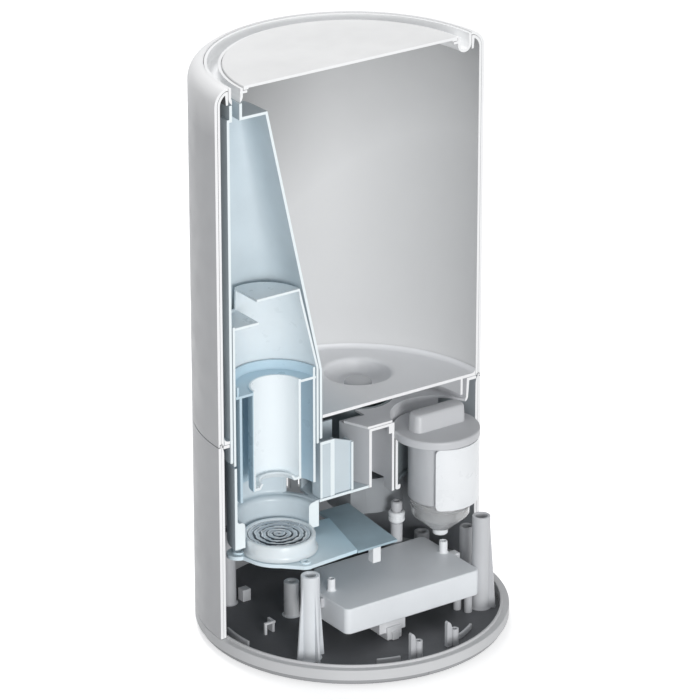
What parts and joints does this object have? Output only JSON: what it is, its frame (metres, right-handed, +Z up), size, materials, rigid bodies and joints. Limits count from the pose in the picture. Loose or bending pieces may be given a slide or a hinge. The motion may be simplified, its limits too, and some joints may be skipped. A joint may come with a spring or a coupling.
{
  "type": "cool mist humidifier",
  "caption": "Tall cylindrical top-fill ultrasonic cool mist humidifier, sectioned to show its tank, mist duct, nebuliser, filter cartridge and power box.",
  "frame": {"origin": "Centre of the underside of the feet; -X is the side with the mist duct, -Y is the open, sectioned side, +Z is up.", "axes": "+Z up from the feet to the lid, +X from the mist duct to the filter cartridge, +Y towards the closed back wall."},
  "size_m": [0.2, 0.2, 0.376],
  "materials": {
    "shell_white": "satin moulded plastic, opaque white",
    "inner_white": "smooth moulded plastic, cool white",
    "tray_grey": "fine textured moulded plastic",
    "rubber": "matte",
    "board": "coated circuit board",
    "light_grey": "satin moulded plastic",
    "clear": "smooth translucent moulded plastic",
    "steel": "smooth bright metal",
    "media": "granular or foamed, dull"
  },
  "bodies": {
    "base": {"air_baffle": "inner_white", "air_box": "inner_white", "air_channel": "inner_white", "base_deck": "inner_white", "base_housing": "shell_white", "base_tray": "tray_grey", "board_support": "light_grey", "cartridge_well": "inner_white", "connector_block": "light_grey", "dc_inlet": "rubber", "driver_board": "board", "fan_housing": "tray_grey", "fan_motor": "steel", "foot_front_left": "rubber", "foot_front_right": "rubber", "foot_rear_left": "rubber", "foot_rear_right": "rubber", "mist_basin": "inner_white", "nebuliser_plate": "inner_white", "power_board": "board", "power_box": "light_grey", "power_capacitor_1": "rubber", "power_capacitor_2": "rubber", "power_transformer": "rubber", "sensor_collar": "shell_white", "sensor_post": "light_grey", "transducer_collar": "light_grey", "transducer_disc": "steel", "valve_cup": "inner_white"},
    "tank": {"tank_shell": "shell_white", "top_ring": "shell_white", "mist_duct": "inner_white", "tank_floor": "inner_white", "valve_cage": "shell_white", "valve_spring": "steel"},
    "valve": {"valve_plunger": "light_grey"},
    "lid": {"lid": "shell_white"},
    "guide": {"mist_guide": "clear"},
    "mist_pipe": {"mist_tube": "clear"},
    "cartridge": {"cartridge_body": "light_grey", "filter_media": "media", "cartridge_cover": "shell_white", "cartridge_cone": "clear", "cartridge_nozzle": "shell_white"},
    "cap": {"cartridge_cap": "light_grey"},
    "float": {"water_float": "media"},
    "fan": {"fan_rotor": "rubber"}
  },
  "joints": [
    {"name": "tank_lift", "type": "slide", "parent": "base", "child": "tank", "axis": [0, 0, 1], "range_m": [0, 0.26]},
    {"name": "lid_lift", "type": "slide", "parent": "tank", "child": "lid", "axis": [0, 0, 1], "range_m": [0, 0.08]},
    {"name": "valve_push", "type": "slide", "parent": "tank", "child": "valve", "axis": [0, 0, 1], "range_m": [0, 0.003], "stiffness_N_per_m": 150, "deforming": ["valve_spring"]},
    {"name": "guide_lift", "type": "slide", "parent": "base", "child": "guide", "axis": [0, 0, 1], "range_m": [0, 0.0936]},
    {"name": "tube_lift", "type": "slide", "parent": "base", "child": "mist_pipe", "axis": [0, 0, 1], "range_m": [0, 0.0364]},
    {"name": "cartridge_lift", "type": "slide", "parent": "base", "child": "cartridge", "axis": [0, 0, 1], "range_m": [0, 0.091]},
    {"name": "cap_twist", "type": "hinge", "parent": "cartridge", "child": "cap", "pos_m": [0.0595, -0.008, 0.118], "axis": [0, 0, 1], "range_deg": [0, 60]},
    {"name": "float_rise", "type": "slide", "parent": "base", "child": "float", "axis": [0, 0, 1], "range_m": [0, 0.008]},
    {"name": "fan_spin", "type": "hinge", "parent": "base", "child": "fan", "pos_m": [0.046, 0.052, 0.058], "axis": [0, 0, 1], "continuous": true}
  ],
  "couplings": [
    {"joint": "guide_lift", "follows": "tank_lift", "ratio": 0.36},
    {"joint": "tube_lift", "follows": "tank_lift", "ratio": 0.14},
    {"joint": "cartridge_lift", "follows": "tank_lift", "ratio": 0.35}
  ]
}
